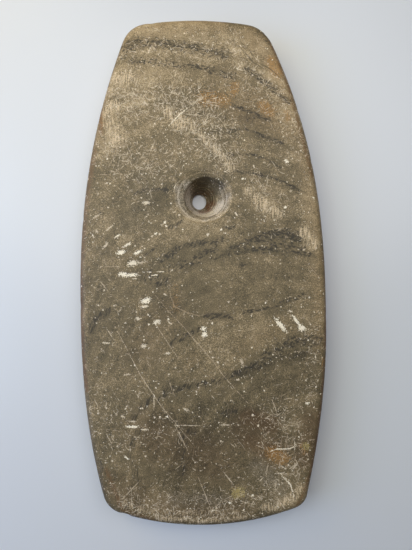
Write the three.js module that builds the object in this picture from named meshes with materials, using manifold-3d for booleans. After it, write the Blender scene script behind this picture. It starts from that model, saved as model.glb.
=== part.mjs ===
// A ground slate pendant: one tongue-shaped tablet of stone, hung by a single hand-drilled hole
// near its narrow head. Millimetres. The stone lies on its flat back: +X across, +Y towards the
// head, +Z out of the crowned front face. The origin is under the middle of the stone, on the plane
// of the back.

import * as THREE from "three";
import { mergeVertices } from "three/addons/utils/BufferGeometryUtils.js";
import Module from "manifold-3d";

const wasm = await Module();
wasm.setup();

// Driving dimensions of the tablet
const LENGTH = 137;
const HALF_LENGTH = LENGTH / 2;
const HALF_WIDTH = 33.52;
const THICKNESS = 10;
const CROWN = 0.9; // rise of the front face from its shoulder to the middle

// The two sides were ground by eye, so each has its own fullness. A side is widest at one height
// and draws in from there to its half-widths at the two ends, each way by its own power.
const LEFT_SIDE = {
  sign: -1,
  widestAt: -9.2,
  head: { half: 18.9, power: 2.17 },
  foot: { half: 25.35, power: 2.46 },
};
const RIGHT_SIDE = {
  sign: 1,
  widestAt: -13.2,
  head: { half: 16.9, power: 2.49 },
  foot: { half: 25.3, power: 1.9 },
};

// The two ends are shallow arcs. Each one's apex stands a little off the middle line.
const HEAD_END = { sign: 1, apexX: -2.74, radius: 91.2 };
const FOOT_END = { sign: -1, apexX: -0.56, radius: 73.8 };

// How far each corner is cut back along both of its edges. The head's right one is worn away most.
const CORNER_CUTS = { headLeft: 3.8, headRight: 6, footLeft: 2.6, footRight: 2.4 };

// Cross-section at the rim: how far each rounding reaches in from the outline, and how much of the
// height it takes. A fullness of 2 is a quarter ellipse, and more than that is a tighter edge.
const BACK_ROUNDING = { reach: 2.4, height: 2.8, fullness: 2.3 };
const FRONT_ROUNDING = { reach: 3.2, height: 4.4, fullness: 2.9 };

// The spine that the rim's section leans towards: a straight line up the middle, short of each end
// by a half-width.
const SPINE_HALF = HALF_LENGTH - HALF_WIDTH;

// The drilled hole. A shallow dish opens it on the front. The stone bit that was turned down through
// the dish leaned, so the steep cone comes out of the back further to the left than it went in.
const DISH = { x: 0.47, y: 20.41, mouthRadius: 6.85, floorRadius: 6.1, depth: 0.95, oval: 1.1 };
const CONE = { mouthX: 1.2, mouthY: 20, throatX: -0.77, throatY: 20.2, mouthRadius: 5.5, oval: 1.06 };
const THROAT = { radius: 2, height: 1.1 };
const BACK_REAMING = { radius: 2.65, depth: 0.55 };
const TURNING_RINGS = 6; // rings that the bit's grit cut in the wall of the cone
const RING_DEPTH = 0.13;
const CUT_CLEARANCE = 2; // how far the cutting tools stand out of the stone

// A flake is missing from the foot's left corner, and a smaller one from the left edge above it.
const FLAKES = [
  { x: -22.7, y: -65.2, z: 7.4, radius: 1.5, stretch: [1.5, 0.8, 3.4] },
  { x: -28.5, y: -51.2, z: 9.3, radius: 1.1, stretch: [0.6, 1.6, 1.1] },
];

// Facets
const SIDE_STEPS = 46;
const END_STEPS = 22;
const CORNER_STEPS = 6;
const ROUNDING_STEPS = 6;
const CROWN_RINGS = 4;
const HOLE_STEPS = 52;
const FLAKE_STEPS = 12;
const CORNER_SEARCH_STEPS = 12;

const SLATE = new THREE.MeshStandardMaterial({ color: "#7c6f59", roughness: 0.55, metalness: 0 });

// Half-width of one side of the tablet at height y.
function halfWidthAt(side, y) {
  const end = y > side.widestAt ? side.head : side.foot;
  const span = y > side.widestAt ? HALF_LENGTH - side.widestAt : HALF_LENGTH + side.widestAt;
  const travelled = Math.abs(y - side.widestAt) / span;
  return HALF_WIDTH - (HALF_WIDTH - end.half) * travelled ** end.power;
}

function sidePoint(side, y) {
  return new THREE.Vector2(side.sign * halfWidthAt(side, y), y);
}

// Point of an end's arc that stands at x.
function endPoint(end, x) {
  const drop = end.radius - Math.sqrt(end.radius ** 2 - (x - end.apexX) ** 2);
  return new THREE.Vector2(x, end.sign * (HALF_LENGTH - drop));
}

// The sharp corner where a side would meet an end, found by going from one to the other until they
// agree.
function cornerOf(side, end) {
  let corner = sidePoint(side, end.sign * HALF_LENGTH);
  for (let i = 0; i < CORNER_SEARCH_STEPS; i++) {
    corner = sidePoint(side, endPoint(end, corner.x).y);
  }
  return corner;
}

// One corner of the tablet: where its side and its end stop, and the curve between the two.
function roundedCorner(side, end, cut) {
  const sharp = cornerOf(side, end);
  const onSide = sidePoint(side, sharp.y - end.sign * cut);
  const onEnd = endPoint(end, sharp.x - side.sign * cut);
  return { sharp, onSide, onEnd };
}

function sideCurve(side, fromY, toY) {
  const points = [];
  for (let i = 0; i <= SIDE_STEPS; i++) {
    points.push(sidePoint(side, THREE.MathUtils.lerp(fromY, toY, i / SIDE_STEPS)));
  }
  return points;
}

function endCurve(end, fromX, toX) {
  const points = [];
  for (let i = 0; i <= END_STEPS; i++) {
    points.push(endPoint(end, THREE.MathUtils.lerp(fromX, toX, i / END_STEPS)));
  }
  return points;
}

function cornerCurve(from, sharp, to) {
  return new THREE.QuadraticBezierCurve(from, sharp, to).getPoints(CORNER_STEPS);
}

// The outline, anticlockwise as seen from the front, starting at the foot's right corner.
function tabletOutline() {
  const footRight = roundedCorner(RIGHT_SIDE, FOOT_END, CORNER_CUTS.footRight);
  const headRight = roundedCorner(RIGHT_SIDE, HEAD_END, CORNER_CUTS.headRight);
  const headLeft = roundedCorner(LEFT_SIDE, HEAD_END, CORNER_CUTS.headLeft);
  const footLeft = roundedCorner(LEFT_SIDE, FOOT_END, CORNER_CUTS.footLeft);
  const stretches = [
    sideCurve(RIGHT_SIDE, footRight.onSide.y, headRight.onSide.y),
    cornerCurve(headRight.onSide, headRight.sharp, headRight.onEnd),
    endCurve(HEAD_END, headRight.onEnd.x, headLeft.onEnd.x),
    cornerCurve(headLeft.onEnd, headLeft.sharp, headLeft.onSide),
    sideCurve(LEFT_SIDE, headLeft.onSide.y, footLeft.onSide.y),
    cornerCurve(footLeft.onSide, footLeft.sharp, footLeft.onEnd),
    endCurve(FOOT_END, footLeft.onEnd.x, footRight.onEnd.x),
    cornerCurve(footRight.onEnd, footRight.sharp, footRight.onSide),
  ];
  return stretches.flatMap((stretch) => stretch.slice(0, -1));
}

// The outline drawn in by an inset towards the spine. All of its points head for the spine, so none
// of them cross.
function insetRing(outline, inset, z) {
  return outline.map((point) => {
    const spineY = THREE.MathUtils.clamp(point.y, -SPINE_HALF, SPINE_HALF);
    const towardsSpine = new THREE.Vector2(-point.x, spineY - point.y).setLength(inset);
    return new THREE.Vector3(point.x + towardsSpine.x, point.y + towardsSpine.y, z);
  });
}

// The rounding between the wall and a face, from the wall inwards: inset from the outline, and
// depth below the face.
function roundingSteps({ reach, height, fullness }) {
  const steps = [];
  for (let i = 0; i <= ROUNDING_STEPS; i++) {
    const angle = (i / ROUNDING_STEPS) * (Math.PI / 2);
    steps.push({
      inset: reach * (1 - Math.cos(angle) ** (2 / fullness)),
      depth: height * (1 - Math.sin(angle) ** (2 / fullness)),
    });
  }
  return steps;
}

// A closed skin over a stack of rings with as many points each, anticlockwise, from the lowest to
// the highest. Its two ends close on a centre point.
function skinOver(rings, bottomCentre, topCentre) {
  const count = rings[0].length;
  const vertices = [...rings.flat(), bottomCentre, topCentre];
  const bottomIndex = vertices.length - 2;
  const topIndex = vertices.length - 1;
  const lastRing = (rings.length - 1) * count;
  const triangles = [];
  for (let i = 0; i < count; i++) {
    const next = (i + 1) % count;
    triangles.push(bottomIndex, next, i);
    triangles.push(topIndex, lastRing + i, lastRing + next);
    for (let base = 0; base < lastRing; base += count) {
      triangles.push(base + i, base + next, base + count + next);
      triangles.push(base + i, base + count + next, base + count + i);
    }
  }
  const geometry = new THREE.BufferGeometry().setFromPoints(vertices);
  geometry.setIndex(triangles);
  return geometry;
}

// The whole tablet before it was drilled.
function tabletGeometry() {
  const outline = tabletOutline();
  const shoulderHeight = THICKNESS - CROWN;
  const backRings = roundingSteps(BACK_ROUNDING)
    .reverse()
    .map(({ inset, depth }) => insetRing(outline, inset, depth));
  const frontRings = roundingSteps(FRONT_ROUNDING).map(({ inset, depth }) =>
    insetRing(outline, inset, shoulderHeight - depth),
  );
  const shoulder = frontRings[frontRings.length - 1];
  const crownRings = [];
  for (let i = 1; i <= CROWN_RINGS; i++) {
    const shrunk = 1 - i / (CROWN_RINGS + 1);
    const rise = CROWN * (1 - shrunk ** 2);
    crownRings.push(
      shoulder.map((p) => new THREE.Vector3(p.x * shrunk, p.y * shrunk, shoulderHeight + rise)),
    );
  }
  const backCentre = new THREE.Vector3(0, 0, 0);
  const frontCentre = new THREE.Vector3(0, 0, THICKNESS);
  return skinOver([...backRings, ...frontRings, ...crownRings], backCentre, frontCentre);
}

// Height of the crowned face where the dish was pecked.
function faceHeightAt(y) {
  const shrunk = y / (HALF_LENGTH - FRONT_ROUNDING.reach);
  return THICKNESS - CROWN * shrunk ** 2;
}

// A turned cutting tool: its profile is a list of radius and height, and it stands on +Z.
function turnedTool(profile) {
  const points = profile.map(([radius, height]) => new THREE.Vector2(radius, height));
  return new THREE.LatheGeometry(points, HOLE_STEPS).rotateX(Math.PI / 2);
}

// The shallow dish at the mouth of the hole, a little wider across the stone than along it.
function dishTool() {
  const face = faceHeightAt(DISH.y);
  const floor = face - DISH.depth;
  const slope = (DISH.mouthRadius - DISH.floorRadius) / DISH.depth;
  const top = face + CUT_CLEARANCE;
  return turnedTool([
    [0, floor],
    [DISH.floorRadius, floor],
    [DISH.mouthRadius, face],
    [DISH.mouthRadius + slope * CUT_CLEARANCE, top],
    [0, top],
  ])
    .scale(DISH.oval, 1, 1)
    .translate(DISH.x, DISH.y, 0);
}

// The leaning cone: reamed out at the back, straight through the throat, then widening by rings to
// the dish's floor.
function coneTool() {
  const mouthHeight = faceHeightAt(DISH.y) - DISH.depth;
  const profile = [
    [0, -CUT_CLEARANCE],
    [BACK_REAMING.radius, -CUT_CLEARANCE],
    [BACK_REAMING.radius, 0],
    [THROAT.radius, BACK_REAMING.depth],
    [THROAT.radius, THROAT.height],
  ];
  for (let ring = 1; ring <= TURNING_RINGS; ring++) {
    const groove = (ring - 0.5) / TURNING_RINGS;
    const crest = ring / TURNING_RINGS;
    profile.push(
      [
        THREE.MathUtils.lerp(THROAT.radius, CONE.mouthRadius, groove) + RING_DEPTH,
        THREE.MathUtils.lerp(THROAT.height, mouthHeight, groove),
      ],
      [
        THREE.MathUtils.lerp(THROAT.radius, CONE.mouthRadius, crest),
        THREE.MathUtils.lerp(THROAT.height, mouthHeight, crest),
      ],
    );
  }
  const rimHeight = mouthHeight + RING_DEPTH;
  profile.push([CONE.mouthRadius, rimHeight], [0, rimHeight]);

  const leanX = (CONE.mouthX - CONE.throatX) / mouthHeight;
  const leanY = (CONE.mouthY - CONE.throatY) / mouthHeight;
  const lean = new THREE.Matrix4().makeShear(0, 0, 0, 0, leanX, leanY);
  return turnedTool(profile)
    .scale(CONE.oval, 1, 1)
    .applyMatrix4(lean)
    .translate(CONE.throatX, CONE.throatY, 0);
}

function flakeTool({ x, y, z, radius, stretch }) {
  const lens = new THREE.SphereGeometry(radius, FLAKE_STEPS, FLAKE_STEPS / 2);
  return lens.scale(...stretch).translate(x, y, z);
}

function toSolid(geometry) {
  const bare = geometry.clone();
  bare.deleteAttribute("normal");
  bare.deleteAttribute("uv");
  const merged = mergeVertices(bare);
  const mesh = new wasm.Mesh({
    numProp: 3,
    vertProperties: merged.getAttribute("position").array,
    triVerts: new Uint32Array(merged.getIndex().array),
  });
  return new wasm.Manifold(mesh);
}

function toGeometry(solid) {
  const mesh = solid.getMesh();
  const geometry = new THREE.BufferGeometry();
  geometry.setAttribute("position", new THREE.BufferAttribute(mesh.vertProperties, mesh.numProp));
  geometry.setIndex(new THREE.BufferAttribute(mesh.triVerts, 1));
  geometry.computeVertexNormals();
  return geometry;
}

// The finished stone: the tablet, less the drilled hole and the flakes.
function pendantGeometry() {
  const cuts = [dishTool(), coneTool(), ...FLAKES.map(flakeTool)];
  const stone = cuts.reduce((solid, cut) => solid.subtract(toSolid(cut)), toSolid(tabletGeometry()));
  return toGeometry(stone);
}

const pendant = new THREE.Group();
const slatePendant = new THREE.Mesh(pendantGeometry(), SLATE);
slatePendant.name = "slate_pendant";
pendant.add(slatePendant);

export default pendant;
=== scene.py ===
"""A ground slate pendant: a tongue-shaped tablet of banded slate with one hand-drilled hole.

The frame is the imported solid's: +X across the stone, +Y towards its narrow head, +Z out of its
crowned front face. Blender's objects are in metres. Sizes and places in this script are in
millimetres on the stone, from the middle of its back, and MM turns them into metres.
"""

import math
from itertools import zip_longest

import bpy
import numpy as np
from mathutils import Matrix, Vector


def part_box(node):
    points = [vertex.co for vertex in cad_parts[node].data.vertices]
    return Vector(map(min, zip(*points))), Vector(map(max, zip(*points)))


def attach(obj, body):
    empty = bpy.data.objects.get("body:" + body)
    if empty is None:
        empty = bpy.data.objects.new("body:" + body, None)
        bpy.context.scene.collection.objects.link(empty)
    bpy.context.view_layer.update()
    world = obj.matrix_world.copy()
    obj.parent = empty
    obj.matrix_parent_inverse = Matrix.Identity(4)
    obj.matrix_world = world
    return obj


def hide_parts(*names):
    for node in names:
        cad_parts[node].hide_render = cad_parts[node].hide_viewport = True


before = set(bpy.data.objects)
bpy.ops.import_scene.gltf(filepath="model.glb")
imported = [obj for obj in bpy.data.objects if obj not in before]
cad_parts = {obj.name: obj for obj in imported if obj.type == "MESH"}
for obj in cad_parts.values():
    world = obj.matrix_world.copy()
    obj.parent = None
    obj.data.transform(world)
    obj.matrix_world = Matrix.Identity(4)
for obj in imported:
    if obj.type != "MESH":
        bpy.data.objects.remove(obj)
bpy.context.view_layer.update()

MM = 0.001

# The stone's size comes from the frame
_, stone_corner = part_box("slate_pendant")
HALF_WIDTH = stone_corner.x / MM
HALF_LENGTH = stone_corner.y / MM
THICKNESS = stone_corner.z / MM
CROWN = 0.9

# The two sides were ground by eye: each is widest at one height and draws in towards both ends.
# An end's two numbers are the half-width there and the power of the curve that leads to it.
LEFT_SIDE = {"sign": -1, "widest_at": -9.2, "head": (18.45, 2.25), "foot": (25.55, 2.46)}
RIGHT_SIDE = {"sign": 1, "widest_at": -13.2, "head": (16.6, 2.55), "foot": (25.5, 1.93)}
HEAD_END = {"sign": 1, "apex_x": -2.74, "radius": 91.2}
FOOT_END = {"sign": -1, "apex_x": -0.56, "radius": 73.8}
CORNER_CUTS = {"head_left": 4.2, "head_right": 4.4, "foot_left": 3.5, "foot_right": 2.6}

# The rim's section: how far each rounding reaches in, how much of the height it takes, how full
BACK_ROUNDING = {"reach": 2.4, "height": 2.8, "fullness": 2.3}
FRONT_ROUNDING = {"reach": 3.2, "height": 4.4, "fullness": 2.9}

# The drilled hole: a shallow dish, then a steep cone that leans to the left on its way down
DISH = {"centre": (0.47, 20.41), "mouth": 7.2, "floor": 5.5, "depth": 0.95, "oval": 1.1}
DISH_FALL = {"early_share": 0.65, "early_power": 1.8, "late_power": 3}  # at its rim, at the cone
CONE = {"mouth": (1.2, 20.0), "throat": (-0.65, 20.3), "oval": 1.06}
CONE_WOBBLE = {"depth": 0.05, "twist": 9}  # the drill was turned by hand
THROAT = {"radius": 2.2, "height": 1.1, "oval": 0.9}
BACK_REAMING = {"radius": 2.85, "depth": 0.55, "flare": 1.5}
TURNING_RINGS = 6
RING_DEPTH = 0.13

# Two flake scars: one at the foot's left corner, one on the left edge above it
FLAKES = [
    {"centre": (-22.7, -65.2, 7.4), "radius": 1.5, "stretch": (1.5, 0.8, 3.4)},
    {"centre": (-28.5, -51.2, 9.3), "radius": 1.1, "stretch": (0.6, 1.6, 1.1)},
]

# The mesh: cells across and along the faces, and rings round the rim and the hole
CELLS_ACROSS = 132
CELLS_ALONG = 276
CURVE_STEPS = 40
CORNER_ROUNDS = 12  # rounds in which a side and an end close in on the point where they meet
FRONT_RINGS = 10
WALL_RINGS = 3
BACK_RINGS = 6
HOLE_BLOCK = 9.6  # half the side of the square patch of cells that the hole takes the place of
LIP_RINGS = 6
DISH_RINGS = 10
CONE_RINGS = 44
THROAT_RINGS = 3

# What is drawn on the stone: strokes of (half-width, strength, points), in millimetres.
# Beds of dark grains run through the stone in low arches that rise to the right.
DARK_BEDS = [
    (1.7, 0.8, [(-21.1, 59.7), (-17, 61.8), (-12.4, 62.6), (-6.1, 60.8), (0.3, 59.9), (7, 58.7)]),
    (1.3, 0.65, [(-17.6, 57.3), (-10.4, 56.6), (-2.9, 55.6), (4.2, 53.9), (8.9, 52.4)]),
    (0.9, 0.9, [(12.5, 54.3), (15.1, 52.7), (18.2, 50.5), (21.4, 47.5), (23.5, 45.7)]),
    (1.6, 0.5, [(14.4, 65.5), (17.1, 64.4), (19.2, 62.2)]),
    (2.4, 0.4, [(12.1, 41.3), (17.7, 41.2)]),
    (0.45, 1, [(9, 44.5), (13.4, 42.6), (18.2, 40.7)]),
    (0.45, 1, [(7.5, 37.6), (11.7, 38.2), (17.3, 36.2), (21.8, 34.5)]),
    (0.45, 0.7, [(7.4, 31.5), (13.2, 31.1), (16.4, 30.6), (21.2, 28.1)]),
    (0.7, 0.8, [(-17.4, 21.7), (-13.5, 22.4), (-9.3, 22.1)]),
    (0.5, 0.5, [(-28.1, 16.1), (-25.9, 17.6)]),
    (0.7, 0.65, [(9.2, 26.9), (14.7, 26.3), (21.1, 24.7), (25.9, 21.7)]),
    (0.45, 1.2, [(-8.6, 12.1), (-5.1, 13.6)]),
    (0.45, 1, [(5.7, 11.9), (8.4, 12.1)]),
    (0.9, 0.9, [(-11.1, 3.4), (-7.9, 5.5), (-6.3, 6.8), (-3.6, 7.5), (0.4, 8.2)]),
    (0.9, 0.8, [(2.8, 7.7), (5.2, 8.7)]),
    (1.1, 1, [(8, 6), (12.8, 8), (16.8, 9.3)]),
    (1.4, 0.95, [(16.8, 9.3), (19.5, 9.8), (23.5, 10), (25.7, 9.5)]),
    (0.8, 0.8, [(8.8, 5.2), (14.7, 6.2), (21.6, 7.4), (27, 6.5)]),
    (0.9, 0.6, [(16, 5.3), (23.5, 5.2), (29.1, 4.9)]),
    (0.9, 0.75, [(-1.8, 3.8), (0.9, 5.6), (3.3, 6.1)]),
    (2.2, 0.4, [(-9.8, 1.3), (-3.1, 2.7), (3.5, 4.2), (10.1, 4.1)]),
    (0.6, 0.9, [(-5.8, 1.7), (-3.2, 2.2), (-0.8, 3)]),
    (0.6, 0.9, [(9.5, 2), (10.9, 2)]),
    (0.7, 0.5, [(-15, 5.3), (-11.6, 6.9)]),
    (1.8, 0.6, [(-15.1, -0.5), (-9.8, -1.5)]),
    (0.9, 0.75, [(-12.5, -2.7), (-9.9, -2.4)]),
    (1, 0.75, [(-29.9, -14.4), (-28.7, -11.7), (-25.5, -9.4)]),
    (0.8, 0.9, [(0.9, -11.6), (4, -11.4), (7.2, -12)]),
    (0.6, 0.7, [(10.7, -10.7), (19.2, -9), (26.8, -6)]),
    (0.8, 0.75, [(-8.3, -18.4), (-3.5, -16.1), (-1.3, -15)]),
    (0.9, 0.95, [(-10.6, -31.9), (-8.5, -30.8), (-3.7, -29.9), (4.3, -28.7)]),
    (0.9, 0.9, [(6.2, -27.6), (9.6, -26.4), (15.5, -23.3)]),
    (1.4, 0.85, [(15.5, -23.3), (19, -20.9), (22.3, -19), (25.8, -18), (30.6, -18.2)]),
    (2, 0.35, [(13.6, -25.6), (18.2, -23.9), (26.5, -22)]),
    (1.5, 0.5, [(-19, -37.7), (-17.1, -35.5), (-14.4, -33.7), (-10.6, -31.9)]),
    (1.2, 0.6, [(3.9, -37.2), (7.6, -37.2)]),
    (1.1, 0.5, [(-17.5, -41.4), (-19.7, -44.6), (-20.2, -47.3), (-19, -51.3), (-18, -55.4)]),
    (1.6, 0.5, [(-7.6, -40), (-6, -46), (-6.6, -52.2)]),
    (0.9, 0.5, [(-4.4, -42.1), (-2, -42.1)]),
]
RUST_STAINS = [
    (2.2, 0.8, [(1.5, 46.3), (6.5, 45.8)]),
    (1.1, 0.95, [(9.2, 48.1), (9.6, 49.7)]),
    (1.6, 0.95, [(17, 44.1), (18.5, 42.6)]),
    (0.8, 0.8, [(23.1, 42.3), (23.6, 40.7)]),
    (1.4, 1.2, [(19.4, 56), (20.8, 53)]),
    (0.8, 0.6, [(-26, 43.5), (-26, 39.5)]),
    (1.4, 0.4, [(-7.2, -3.5), (-7.1, -9.4)]),
    (0.6, 0.3, [(4.6, -25.6), (6.2, -25.8)]),
    (1.8, 1.0, [(17.8, -48.2), (20.5, -49.8)]),
    (0.9, 0.6, [(25.6, -46.5), (26.4, -48.4)]),
    (0.6, 0.6, [(31.9, -23.4), (31.8, -26.7)]),
    (1.2, 0.5, [(7.8, -57.9), (8.8, -59.5)]),
]
PALE_SCUFFS = [
    (1.9, 1.0, [(-22, 52), (-19.5, 52.4)]),
    (1.7, 1.0, [(-25.1, 43.6), (-22.6, 45)]),
    (2.5, 0.8, [(-24, 40), (-22, 36)]),
    (1.8, 0.35, [(-19, 63), (-16, 64.5)]),
    (1.7, 0.8, [(-9, 43), (-5.5, 39)]),
    (1.1, 0.75, [(-5.2, 41.8), (-0.2, 36.9), (4, 32.1), (8.4, 27.5)]),
    (1.3, 0.7, [(12.3, 21.6), (15.1, 18.9)]),
    (1.7, 1.0, [(15.1, 18.9), (17.8, 16.7), (20.1, 15.1)]),
    (1.8, 0.95, [(27, 10.5), (29.5, 7)]),
    (1.3, 0.8, [(15.5, -63), (19, -62.6), (22.5, -60)]),
    (1.2, 0.8, [(22, -61), (25.5, -58)]),
    (1.4, 0.5, [(-24.5, -58), (-20, -62.3)]),
    (0.8, 0.8, [(-13, -65.4), (0, -66.2), (10, -65.4)]),
    (1.2, 0.5, [(-18, -62.6), (-4, -64), (8, -64)]),
]
GREY_CLOUDS = [
    (3, 0.7, [(14, -51.8), (19.8, -57.9)]),
    (2.6, 0.6, [(-9, -60.3), (3.8, -60.5)]),
    (5, 0.4, [(-14, 26), (-18, 14)]),
]
OCHRE_SPOTS = [
    (1.3, 1.1, [(8.1, -58.8), (8.9, -58.7)]),
    (1, 0.8, [(26.7, -46.6), (27, -46.8)]),
]
# Where the stone is lighter or darker than the rest. The lighter zones are partly painted light: along
# the head's right edge and the right edge they stand in for light on bevels that the lamps leave in
# shade, and at the head for the sheen of light from beyond it
PALER_ZONES_AND_PAINTED_LIGHT = [
    (3, 0.9, [(30, 22), (31, 10)]),
    (4, 0.5, [(-26, -50), (-20, -52)]),
    (4, 0.9, [(-18, 64.5), (-8, 66), (2, 67)]),
    (4, 1.0, [(18, 59), (22.5, 50), (25.5, 41.5)]),
    (4, 0.5, [(-4, 11), (8, 11)]),
    (3, 0.6, [(26, -8), (28, -18)]),
    (8, 0.6, [(-21, 52.9), (-23.3, 38.2)]),
    (7, 0.8, [(-12.9, 60), (11.1, 59.5)]),
    (4, 0.6, [(2, 57), (14, 57), (20, 50)]),
    (6, 0.2, [(10.4, 21.6), (19.6, 14.8)]),
    (6, 0.25, [(-25.6, 15.6), (-25, 3.6)]),
    (6, 0.5, [(-14.2, -26.3), (3, -26.5)]),
    (5, 0.7, [(2, -17), (14, -16)]),
    (3, 0.9, [(32, -4), (32, -12)]),
    (5, 0.5, [(-20, -31), (-10, -31)]),
    (3, 0.5, [(7, -23), (12, -22)]),
    (5, 0.4, [(-23, -30), (-22, -41)]),
    (4, 1.0, [(25.2, -58.6), (21.1, -61.2)]),
    (3.5, 0.9, [(-17, -61), (-13, -62)]),
    (4, 0.5, [(10, -59), (13, -61)]),
    (2, 0.5, [(-30.5, 22), (-31.5, 16)]),
    (3, 0.6, [(16, -53), (21, -55)]),
    (3, 0.5, [(12, 58), (17, 62)]),
    (3.5, 0.4, [(-22, -56), (-18, -58)]),
]
DARK_ZONES = [
    (1.5, 1.0, [(9, 66.5), (15, 65.3), (19, 62.5)]),
    (5, 0.3, [(-8, -12), (-1, -12)]),
    (6, 0.5, [(0, 50), (8, 40), (4, 30)]),
    (5, 0.7, [(-17, 24), (-13, 21)]),
    (4, 0.4, [(11, 29), (20, 29)]),
    (4, 0.5, [(2, -31), (14, -30)]),
    (3, 0.2, [(-28.5, 26), (-31, 10)]),
    (5, 0.25, [(6.2, 7.1), (28.9, 8.1)]),
    (7, 0.25, [(-25, 2), (-14, -6)]),
    (6, 0.4, [(18, -27.2), (29.7, -27)]),
    (9, 0.7, [(-3.9, -39.2), (10, -42)]),
    (5, 0.6, [(9, -44), (19, -46)]),
    (2, 0.6, [(12.3, -44.6), (16, -47)]),
    (8, 0.4, [(-2.8, -52.6), (6.5, -59.5)]),
    (6, 0.3, [(-28.2, -57.7), (-20.2, -60.5)]),
    (5, 0.2, [(12.4, 56.3), (20.2, 49.5)]),
    (3.5, 0.8, [(10.3, 42.9), (17.4, 38.8)]),
]
# Where the stone is tanned, and where it is a reddish brown. Along the head's right edge the tan is
# partly painted light on a bevel that the lamps leave in shade
TAN_ZONES_AND_PAINTED_LIGHT = [
    (3, 1.0, [(14, 63), (19.5, 57), (22.5, 50), (25.5, 41.5)]),
    (2.5, 0.7, [(-22, 61), (-10, 65), (6, 66)]),
    (5, 0.5, [(2, 46), (8, 50)]),
    (5, 1.0, [(12, 44), (24, 40)]),
    (3, 0.6, [(-26, 46), (-27.5, 36)]),
    (3, 0.7, [(27, 38), (30.5, 18), (32, 2), (31.5, -20)]),
    (3, 0.4, [(-32, 10), (-32, -15)]),
    (2.5, 0.8, [(17.5, -49), (21, -50)]),
    (2, 0.6, [(-3.6, -23.7), (-2.5, -22.7)]),
    (3, 0.5, [(10, -20), (22, -15)]),
]
RED_ZONES = [
    (8, 0.6, [(-14, -43), (2, -50)]),
    (2.2, 1.4, [(11.5, -38.9), (17.4, -40.9)]),
    (2.2, 1.4, [(12, -45.1), (16.8, -47.6)]),
    (6, 0.7, [(11, -42), (17, -47)]),
    (4, 0.8, [(29, -40), (27, -50)]),
    (6, 0.5, [(-24, -57), (-15, -62)]),
    (5, 0.6, [(-12, -63), (8, -64)]),
    (7, 0.4, [(-10, -10), (-16, -20)]),
]
# Where the rim is stained brown
BROWN_RIMS = [
    (0.8, 1.0, [(33.3, 6), (33.5, -8), (33, -21)]),
    (0.7, 0.7, [(19, 62), (24, 49), (29.7, 25.4)]),
    (0.6, 0.7, [(32.6, -23), (30.6, -42.6), (28.1, -54), (24.2, -63)]),
    (1.2, 0.6, [(-28.5, 33), (-31, 18), (-32.5, 4)]),
    (0.8, 0.7, [(-32.8, 4), (-32.6, -20.3), (-31.5, -31)]),
    (0.8, 0.6, [(-26.5, -52), (-22.5, -63), (-14, -66)]),
    (0.7, 0.4, [(-17, 65), (-6, 67), (6, 67)]),
    (0.8, 0.8, [(-27, 47), (-26.5, 38)]),
]
# Where fine scratches and crumbs of chalk lie thickest
HANDLED_ZONES = [
    (6, 0.6, [(-20.9, 59.6), (9.8, 59.6)]),
    (7, 0.9, [(-21.1, 47.5), (0.2, 44.4), (4.1, 37.6)]),
    (7, 0.75, [(-25.3, 35.6), (-18, 29), (-9, 30)]),
    (7, 0.7, [(12.3, 53.6), (24.1, 42.8), (26.7, 34.8)]),
    (5, 0.9, [(-3.9, 40.4), (6.6, 29.6)]),
    (4.5, 0.7, [(14.4, 22.9), (19, 16.5)]),
    (7, 0.7, [(20.1, -39.7), (23.9, -53.2), (17.1, -59.7)]),
    (5, 0.8, [(-20.3, -61.8), (-1.6, -64.7), (17.1, -61.1)]),
    (6, 0.5, [(-29.1, -33.6), (-25.3, -44.3), (-9.2, -41.8)]),
    (4, 0.6, [(29, -15.9), (28.2, -34.6)]),
    (4, 0.4, [(-29.7, 14.4), (-29.5, -6.9)]),
]
# Where the face is still as smooth as it was ground
SMOOTH_ZONES = [
    (8, 1.0, [(1, -1), (14, -2)]),
]
# In the hole: pale dust on the foot side and the right, partly painted light that brightens the lower
# wall and the left wall, which the lamps leave in shade; painted shade towards the head, with some brown
# stain; rust by the throat
HOLE_DUST_AND_LIGHT = [
    (1.3, 1.2, [(-1.2, 16.4), (1.5, 15.8), (4, 16.7), (5.3, 18.3)]),
    (1.1, 0.5, [(-6, 22.4), (-5.8, 18.5), (-3.6, 15.2), (-1, 14.2)]),
    (1.4, 0.55, [(6.2, 19.5), (5.9, 17.6)]),
    (0.25, 0.5, [(-5.2, 23.7), (-6.2, 20.4), (-5.3, 17.1), (-2.9, 14.7), (0.5, 13.8)]),
    (0.25, 0.5, [(-5.2, 20.4), (-4.4, 17.5), (-2.4, 15.4), (0.5, 14.6), (3.4, 15.4), (5.5, 17.4)]),
    (0.9, 0.6, [(0.5, 14.1), (3.8, 14.8), (6.3, 17.2), (7, 20.4)]),
    (1.2, 0.8, [(-3.6, 23.4), (-4, 20), (-3, 17.8)]),
    (1.5, 0.35, [(5.6, 22.5), (6, 20)]),
]
# Painted shade on the head side of the hole, where light can't reach the upper wall, with some brown
# stain; the thin last stroke is a painted shadow line at the foot of the cone
HOLE_SHADE_AND_STAIN = [
    (1.1, 1.0, [(-0.8, 24.3), (2.4, 24.7), (4.3, 23.5)]),
    (1.5, 1.0, [(-1.6, 22.4), (0.6, 23), (2.8, 22.2)]),
    (0.6, 0.8, [(2.3, 21.5), (2.8, 19.5), (1.6, 17.6)]),
    (0.25, 0.9, [(-4.8, 17.3), (-2.7, 15.1), (0.5, 14.2), (3.6, 15)]),
]
HOLE_RUST = [
    (1.2, 1.0, [(1.7, 19.1), (1.9, 18.8)]),
    (0.9, 0.9, [(3.1, 19.4), (3.3, 19.1)]),
    (0.7, 0.9, [(-0.5, 17), (1, 16.9), (2.4, 17.6)]),
    (1.2, 0.5, [(-2, 22), (2.8, 22.2)]),
]

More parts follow.
